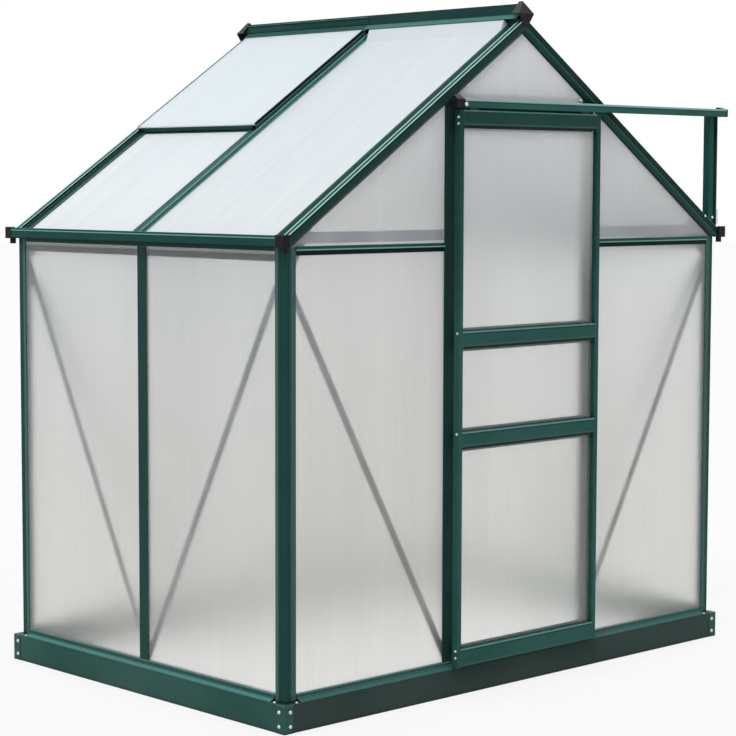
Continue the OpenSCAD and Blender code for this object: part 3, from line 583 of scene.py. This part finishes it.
# the leaf's copy has no painted highlight on edges that look up above the height hush, in the
# track's shade
leaf_green = powder_coat(
    "leaf_coat", (0.018, 0.078, 0.067), (0.028, 0.098, 0.086), SOFT_GLINT,
    change=leaf_lines, hush=1.69)
base_green = powder_coat(
    "base_coat", (0.022, 0.078, 0.066), (0.036, 0.100, 0.087), (0.14, 0.32, 0.28), rough=0.4)
# the base's gable faces get a greyer, darker copy: painted shade on faces turned from the light
base_gable_shade = powder_coat(
    "base_gable_shaded_coat", (0.027, 0.047, 0.042), (0.038, 0.060, 0.054), (0.08, 0.15, 0.13),
    rough=0.4)
zinc = galvanised("zinc_coat", (0.12, 0.16, 0.165), (0.20, 0.245, 0.25), 0.5)
strip = galvanised("strip_coat", (0.25, 0.29, 0.33), (0.36, 0.40, 0.44), 0.5)
# behind a sheet a wide reach of the painted crevice shade would turn the whole strip black
eave_strip = powder_coat(
    "eave_strip", (0.030, 0.050, 0.050), (0.044, 0.066, 0.066), (0.10, 0.14, 0.14),
    crevice_shade_reach=0.0003, change=eave_lines)
# near-black coat for the painted shadow in the gap along the vent's front side
gap_shadow = powder_coat(
    "gap_shadow_coat", (0.002, 0.007, 0.006), (0.003, 0.010, 0.009), (0.02, 0.05, 0.045))
plate = galvanised("plate_coat", (0.035, 0.075, 0.070), (0.06, 0.11, 0.105), 0.5)
bolt_zinc = galvanised("bolt_zinc", (0.62, 0.66, 0.66), (0.82, 0.85, 0.85), 0.3)
black = moulded("moulded_black", (0.010, 0.008, 0.009), (0.018, 0.015, 0.017))
wall_y = twin_wall(
    "sheet_side", "y", (0.975, 0.97, 0.94), (0.915, 0.92, 0.925), z0=0.3, z1=1.3,
    rough=0.32, veil=0.05, lines=0.42)
wall_x = twin_wall(
    "sheet_gable", "x", (0.945, 0.935, 0.90), (0.985, 0.975, 0.98), z0=0.5, z1=1.7,
    rough=0.32, veil=0.05, lines=0.42, light_haze=("Z", 1.24, 1.85, 0.50))
leaf_x = twin_wall(
    "sheet_door", "x", (0.99, 0.985, 0.95), (1.0, 1.0, 1.0), z0=0.3, z1=1.7,
    rough=0.32, veil=0.05, lines=0.42, light_haze=("Z", 1.20, 1.9, 0.42))
roof_y = twin_wall(
    "sheet_roof", "y", (0.955, 0.99, 1.0), (0.90, 0.955, 0.99), z0=1.35, z1=1.95,
    rough=0.38, veil=0.78, lines=0.55, light_haze=("Y", 0.03, 0.06, 0.85))
packing = twin_wall(
    "sheet_packing", "y", (0.83, 0.89, 0.93), (0.83, 0.89, 0.93), z0=1.66, z1=1.98,
    rough=0.38, veil=0.95, lines=0.3)
vent_y = twin_wall(
    "sheet_vent", "y", (0.86, 0.93, 0.97), (0.82, 0.89, 0.94), z0=1.66, z1=1.98,
    rough=0.38, veil=0.92, lines=0.12)

# the first key that a node's name starts with gives its finish
FINISH = {
    "base_front": base_gable_shade,
    "base_back": base_gable_shade,
    "base": base_green,
    "sill": sill_green,
    "side_sills": sill_green,
    "corner_posts": post_green,
    "side_posts": side_green,
    "door_posts": door_post_shade,
    "back_posts": door_post_shade,
    "gable_rails": rail_green,
    "gutter_end_caps": black,
    "gutter": gutter_green,
    "rafters": rafter_green,
    "roof_bars": bar_green,
    "ridge_beam": ridge_green,
    "ridge_caps": black,
    "vent_sheet": vent_y,
    "vent": vent_green,
    "door_track": track_green,
    "door_stiles": leaf_green,
    "door_rails": leaf_green,
    "side_sheets": wall_y,
    "gable_sheets": wall_x,
    "door_sheets": leaf_x,
    "roof_sheets": roof_y,
    "wall_braces": zinc,
    "gusset_plates": plate,
    "door_guides": zinc,
    "door_rollers": rollers("roller_parts"),
    "track_stops": black,
}

for name, obj in NODES.items():
    mat = next((m for key, m in FINISH.items() if name.startswith(key)), green)
    for ms in obj.material_slots:
        ms.material = mat


# ------------------------------------------------------------------- shapes

SUNK = 0.3 * MM  # how far the foot of a screw head or nut goes under the surface


def lathe(bm, origin, axis, profile, sides=20):
    """Turns a profile of (radius, height) round axis; a radius of 0 closes it."""
    axis = Vector(axis).normalized()
    side = axis.orthogonal().normalized()
    other = axis.cross(side)
    rings = []
    for r, h in profile:
        centre = Vector(origin) + axis * h
        if r == 0:
            rings.append([bm.verts.new(centre)])
            continue
        ring = []
        for i in range(sides):
            a = 2 * math.pi * i / sides
            ring.append(bm.verts.new(centre + (side * math.cos(a) + other * math.sin(a)) * r))
        rings.append(ring)
    for a, b in zip(rings, rings[1:]):
        for i in range(sides):
            j = (i + 1) % sides
            corners = [a[i % len(a)], a[j % len(a)], b[j % len(b)], b[i % len(b)]]
            unique = []
            for v in corners:
                if v not in unique:
                    unique.append(v)
            if len(unique) > 2:
                bm.faces.new(unique)


def dome(bm, p, axis, r, h):
    """Domed screw head with a small round recess."""
    lathe(bm, p, axis, [
        (0, 0.45 * h), (0.30 * r, 0.45 * h), (0.36 * r, 0.92 * h), (0.55 * r, 0.97 * h),
        (0.80 * r, 0.80 * h), (0.96 * r, 0.42 * h), (r, 0.05 * h), (r, -SUNK), (0, -SUNK),
    ])


def nut(bm, p, axis, r, h):
    """Hexagon nut on a washer, with the end of its bolt standing out."""
    lathe(bm, p, axis, [
        (0, 1.2 * MM), (1.25 * r, 1.2 * MM), (1.3 * r, 0.9 * MM), (1.3 * r, -SUNK), (0, -SUNK),
    ], 24)
    lathe(bm, p, axis, [
        (0, h + 1.1 * MM), (0.86 * r, h + 1.1 * MM), (r, h + 0.5 * MM), (r, 1.3 * MM),
        (0, 1.3 * MM),
    ], 6)
    lathe(bm, p, axis, [
        (0, h + 4.5 * MM), (0.42 * r, h + 4.5 * MM), (0.5 * r, h + 4.0 * MM),
        (0.5 * r, h + 1.2 * MM), (0, h + 1.2 * MM),
    ], 16)


def block(bm, lo, hi):
    """Box from one corner to the other."""
    box = bmesh.ops.create_cube(bm, size=1.0)
    for v in box["verts"]:
        v.co = Vector([lo[i] + (v.co[i] + 0.5) * (hi[i] - lo[i]) for i in range(3)])


def bar_along_y(bm, outline, y0, y1):
    """Solid between two copies of an outline of (x, z) points."""
    near, far = ([bm.verts.new((x, y, z)) for x, z in outline] for y in (y0, y1))
    bm.faces.new(near)
    bm.faces.new(far[::-1])
    for i in range(len(outline)):
        j = (i + 1) % len(outline)
        bm.faces.new((near[i], far[i], far[j], near[j]))


def on_slope(side, s, n):
    """Point (x, z) s down a slope from the apex and n off the ribs' plane."""
    c, d = math.cos(ROOF_ANGLE), math.sin(ROOF_ANGLE)
    return side * (s * c + n * d), APEX - s * d + n * c


def add_piece(name, build, mat, body="house", smooth=40):
    mesh = bpy.data.meshes.new(name)
    bm = bmesh.new()
    build(bm)
    bmesh.ops.recalc_face_normals(bm, faces=bm.faces)
    bm.to_mesh(mesh)
    bm.free()
    mesh.materials.append(mat)
    mesh.shade_smooth()
    mesh.set_sharp_from_angle(angle=math.radians(smooth))
    obj = bpy.data.objects.new(name, mesh)
    bpy.context.scene.collection.objects.link(obj)
    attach(obj, body)


# ------------------------------------------------- bolts and screws of the base

SIDES = (-1, 1)
CORNERS = [(sx, sy) for sx in SIDES for sy in SIDES]
BASE_NODES = ["base_front", "base_back", "base_left", "base_right", "base_corners"]
BASE_BOLT_HEIGHTS = (20 * MM, 60 * MM)
BASE_BOLT_HEAD = (5.6 * MM, 3.4 * MM)
BASE_NUT = (4.6 * MM, 4 * MM)
BASE_WALL = 3.0 * MM
BOLT_FROM_CORNER_X, BOLT_FROM_CORNER_Y = 21 * MM, 22 * MM
SILL_BOLT_HEAD = (5.0 * MM, 3.2 * MM)

bx, by, bh = (max(c) for c in zip(*(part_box(n)[1] for n in BASE_NODES)))


def base_bolts(bm):
    """Two bolts through each leg of each corner angle."""
    for sx, sy in CORNERS:
        for z in BASE_BOLT_HEIGHTS:
            dome(bm, (sx * bx, sy * (by - BOLT_FROM_CORNER_Y), z), (sx, 0, 0), *BASE_BOLT_HEAD)
            dome(bm, (sx * (bx - BOLT_FROM_CORNER_X), sy * by, z), (0, sy, 0), *BASE_BOLT_HEAD)


def base_nuts(bm):
    """Their nuts, on the inner face of the base."""
    in_x, in_y = bx - BASE_WALL, by - BASE_WALL
    for sx, sy in CORNERS:
        for z in BASE_BOLT_HEIGHTS:
            nut(bm, (sx * in_x, sy * (by - BOLT_FROM_CORNER_Y), z), (-sx, 0, 0), *BASE_NUT)
            nut(bm, (sx * (bx - BOLT_FROM_CORNER_X), sy * in_y, z), (0, -sy, 0), *BASE_NUT)


def sill_bolts(bm):
    """Bolts that hold the sills and posts down on the base's upper flange."""
    for sx, sy in CORNERS:
        for in_x, in_y in ((10 * MM, 52 * MM), (52 * MM, 9 * MM)):
            dome(bm, (sx * (bx - in_x), sy * (by - in_y), bh), (0, 0, 1), *SILL_BOLT_HEAD)


# -------------------------------------------------- screws of the leaf and track

MID_RAIL_SCREWS = (1.064, 0.773)
PLATE_BOLT = (0.262, 0.6275, 1.7455)
# distance from the upright's outer side in millimetres, height, radius, head
UPRIGHT_BOLTS = ((21, 1.386, 4.6, 3), (58, 1.391, 4.2, 2.4))
# foot, head and reach of the angle's upright leg, then of its flat one
FOOT_ANGLE_LEGS = ((1.366, 1.412, 2.2), (1.3655, 1.3667, 20))

stile_lo, stile_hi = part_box("door_stiles")
track_lo, track_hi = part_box("door_track")
post_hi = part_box("track_support")[1]


def door_screws(bm):
    """Screws through the stiles into the rails' ends."""
    head, foot = stile_hi.z, stile_lo.z
    y = stile_lo.y + 8 * MM
    heights = (head - 20.5 * MM, head - 39 * MM, *MID_RAIL_SCREWS, foot + 52 * MM, foot + 31.5 * MM)
    for sx in SIDES:
        for z in heights:
            dome(bm, (sx * stile_hi.x, y, z), (sx, 0, 0), 4.2 * MM, 2.4 * MM)


def small_bolts(bm):
    """Bolts on the track's end, the gables' plates and the upright's foot."""
    track_bolt = (track_lo.x + 3 * MM, track_lo.y, track_hi.z - 15 * MM)
    dome(bm, track_bolt, (0, -1, 0), 6.5 * MM, 4 * MM)
    x, y, z = PLATE_BOLT
    for sx, sy in CORNERS:
        dome(bm, (sx * x, sy * y, z), (0, sy, 0), 6 * MM, 3 * MM)
    for inset, z, r, h in UPRIGHT_BOLTS:
        dome(bm, (post_hi.x - inset * MM, track_hi.y, z), (0, -1, 0), r * MM, h * MM)


def foot_angle(bm):
    """Angle that bolts the upright to the rafter, on its outer side."""
    x, y = post_hi.x + 1.0 * MM, track_hi.y
    for z0, z1, reach in FOOT_ANGLE_LEGS:
        block(bm, Vector((x, y + 1 * MM, z0)), Vector((x + 9 * MM, y + reach * MM, z1)))


# -------------------------------------------- strips behind and over the sheets

BEHIND_SHEET = 0.6 * MM
STRIP_T = 1.2 * MM
RAIL_BACK_START, RAIL_BACK_END = 0.325, 0.888
UNDER_RAFTERS = 1.9305  # height at which the rafters' undersides would meet
EAVE_BACK_RUNS = ((-0.60, -0.012), (0.012, 0.60))
EAVE_BACK_HEIGHT = 33 * MM
PACKING_SECTION = ((0.012, -0.0098), (0.0215, 0.0130), (0.0235, 0.0130), (0.0560, -0.0098))
VENT_HEAD_S, VENT_FOOT_S = 0.026, 0.569
LIP_T = 0.9 * MM

rail_box_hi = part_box("gable_rails_front")[1]
sheet_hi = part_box("gable_sheets_front")[1]
vent_lo, vent_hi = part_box("vent_sheet")
sheet_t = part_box("side_sheets_left")[1].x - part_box("side_sheets_left")[0].x
# how far the vent sheet's top stands off the ribs' plane
vent_n = math.cos(ROOF_ANGLE) * (vent_lo.z - APEX - SLOPE * vent_lo.x)
vent_n += sheet_t * math.cos(ROOF_ANGLE) ** 2


def rail_backs(bm):
    """Flange of the gable rails behind the sheets, cut off under the rafters."""
    z0, z1 = rail_box_hi.z + 7 * MM, rail_box_hi.z + 38 * MM
    end0, end1 = (min((UNDER_RAFTERS - z) / SLOPE, RAIL_BACK_END) for z in (z0, z1))
    outline = [(RAIL_BACK_START, z0), (end0, z0), (end1, z1), (RAIL_BACK_START, z1)]
    for sx, sy in CORNERS:
        y0, y1 = (sy * (-sheet_hi.y + gap) for gap in (BEHIND_SHEET, BEHIND_SHEET + STRIP_T))
        bar_along_y(bm, [(sx * x, z) for x, z in outline], y0, y1)


def eave_backs(bm):
    """Inner lips of the eaves, close behind the side walls' sheets."""
    inner = -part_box("side_sheets_left")[1].x - BEHIND_SHEET
    z0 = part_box("eave_left")[0].z + 0.3 * MM
    for sx in SIDES:
        for y0, y1 in EAVE_BACK_RUNS:
            lo = Vector((min(sx * inner, sx * (inner - STRIP_T)), y0, z0))
            block(bm, lo, Vector((lo.x + STRIP_T, y1, z0 + EAVE_BACK_HEIGHT)))


def ridge_packing(bm):
    """Pale packing in the slot between the ridge's hood and the roof sheets, over both
    front bays and the right back one. The photograph doesn't show it: it covers a dark
    web that stands too far above the sheets."""
    lo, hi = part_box("roof_bars")
    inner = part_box("rafters_front")[1].y + 1 * MM
    for side, y0, y1 in (
        (-1, inner, lo.y - 1 * MM), (1, inner, lo.y - 1 * MM), (1, hi.y + 1 * MM, -inner),
    ):
        bar_along_y(bm, [on_slope(side, s, n) for s, n in PACKING_SECTION], y0, y1)


def vent_strip(bm, y0, y1, n0, n1):
    """Flat strip down the left slope, as long as the vent."""
    ends = ((VENT_HEAD_S, n0), (VENT_FOOT_S, n0), (VENT_FOOT_S, n1), (VENT_HEAD_S, n1))
    bar_along_y(bm, [on_slope(-1, s, n) for s, n in ends], y0, y1)


def vent_gap_shadow(bm):
    """Near-black strip along the vent's front side: a painted shadow in the gap under its edge."""
    n0 = vent_n - sheet_t - 0.3 * MM
    vent_strip(bm, vent_lo.y - 0.3 * MM, vent_lo.y + 5 * MM, n0, vent_n + LIP_T)


def vent_lip(bm):
    """Lip over the sheet along the vent's back side."""
    vent_strip(bm, vent_hi.y - 7 * MM, vent_hi.y - 0.4 * MM, vent_n, vent_n + LIP_T)


add_piece("ridge_packing", ridge_packing, packing, smooth=20)
add_piece("vent_gap_shadow", vent_gap_shadow, gap_shadow)
add_piece("vent_lip", vent_lip, vent_green)
add_piece("small_bolts", small_bolts, bolt_zinc)
add_piece("foot_angle", foot_angle, bolt_zinc)
add_piece("rail_backs", rail_backs, strip)
add_piece("eave_backs", eave_backs, eave_strip)
add_piece("base_bolts", base_bolts, bolt_zinc)
add_piece("base_nuts", base_nuts, bolt_zinc)
add_piece("sill_bolts", sill_bolts, bolt_zinc)
add_piece("door_screws", door_screws, bolt_zinc, "door")


# ------------------------------------------------------- floor and backdrop

FLOOR_HALF = 40.0
FLOOR_DROP = 0.6 * MM
FLOOR_GLOW, FLOOR_GLOW_SHARE = 1.04, 0.72
SKY_STRENGTH = 0.70
SKY_LOW, SKY_HIGH = (0.70, 0.70, 0.69, 1), (0.96, 0.98, 1.0, 1)


def add_floor():
    """Pale floor that glows towards white where it is seen but keeps the shadow."""
    s = Shader("floor_white")
    path = s.node("LightPath").outputs
    seen = s.maths("MAXIMUM", path["Is Camera Ray"], path["Is Glossy Ray"])
    seen = s.maths("MAXIMUM", seen, path["Is Transmission Ray"])
    spread = s.remap(s.noise(3.0), 0.3, 0.7, 0.0, 1.0)
    lit = s.node("BsdfDiffuse", Color=s.mix(spread, (0.86, 0.86, 0.86), (0.89, 0.89, 0.89)))
    glow = s.node("Emission", Strength=FLOOR_GLOW)
    share = s.both(seen, FLOOR_GLOW_SHARE)
    mat = s.finish(s.mix_shaders(share, lit.outputs[0], glow.outputs[0]))
    mesh = bpy.data.meshes.new("floor")
    a = FLOOR_HALF
    mesh.from_pydata([(-a, -a, 0), (a, -a, 0), (a, a, 0), (-a, a, 0)], [], [(0, 1, 2, 3)])
    mesh.materials.append(mat)
    floor = bpy.data.objects.new("floor", mesh)
    floor.location.z = -FLOOR_DROP
    bpy.context.scene.collection.objects.link(floor)


def add_world():
    """Soft light, paler from above; white to the eye, in reflections and through sheets."""
    world = bpy.data.worlds.new("studio")
    bpy.context.scene.world = world
    world.use_nodes = True
    tree = world.node_tree
    tree.nodes.clear()
    new = tree.nodes.new
    link = tree.links.new
    out = new("ShaderNodeOutputWorld")
    white = new("ShaderNodeBackground")
    white.inputs[0].default_value = (1, 1, 1, 1)
    white.inputs[1].default_value = 1.0
    soft = new("ShaderNodeBackground")
    soft.inputs[1].default_value = SKY_STRENGTH
    coords = new("ShaderNodeTexCoord")
    split = new("ShaderNodeSeparateXYZ")
    link(coords.outputs["Generated"], split.inputs[0])
    ramp = new("ShaderNodeValToRGB")
    low, high = ramp.color_ramp.elements
    low.position, low.color = 0.0, SKY_LOW
    high.position, high.color = 0.8, SKY_HIGH
    link(split.outputs[2], ramp.inputs[0])
    link(ramp.outputs[0], soft.inputs[0])
    path = new("ShaderNodeLightPath").outputs
    first = new("ShaderNodeMath")
    second = new("ShaderNodeMath")
    first.operation = second.operation = "MAXIMUM"
    link(path["Is Camera Ray"], first.inputs[0])
    link(path["Is Glossy Ray"], first.inputs[1])
    link(first.outputs[0], second.inputs[0])
    link(path["Is Transmission Ray"], second.inputs[1])
    m = new("ShaderNodeMixShader")
    link(second.outputs[0], m.inputs[0])
    link(soft.outputs[0], m.inputs[1])
    link(white.outputs[0], m.inputs[2])
    link(m.outputs[0], out.inputs[0])


def add_sun(name, towards, strength, angle, colour):
    data = bpy.data.lights.new(name, "SUN")
    data.energy = strength
    data.angle = math.radians(angle)
    data.color = colour
    obj = bpy.data.objects.new(name, data)
    obj.rotation_mode = "QUATERNION"
    obj.rotation_quaternion = Vector(towards).to_track_quat("Z", "Y")
    bpy.context.scene.collection.objects.link(obj)


add_floor()
add_world()
add_sun("key", (-0.50, -0.42, 0.76), strength=1.1, angle=24, colour=(1.0, 0.995, 0.98))

bpy.context.scene.view_settings.view_transform = "Standard"
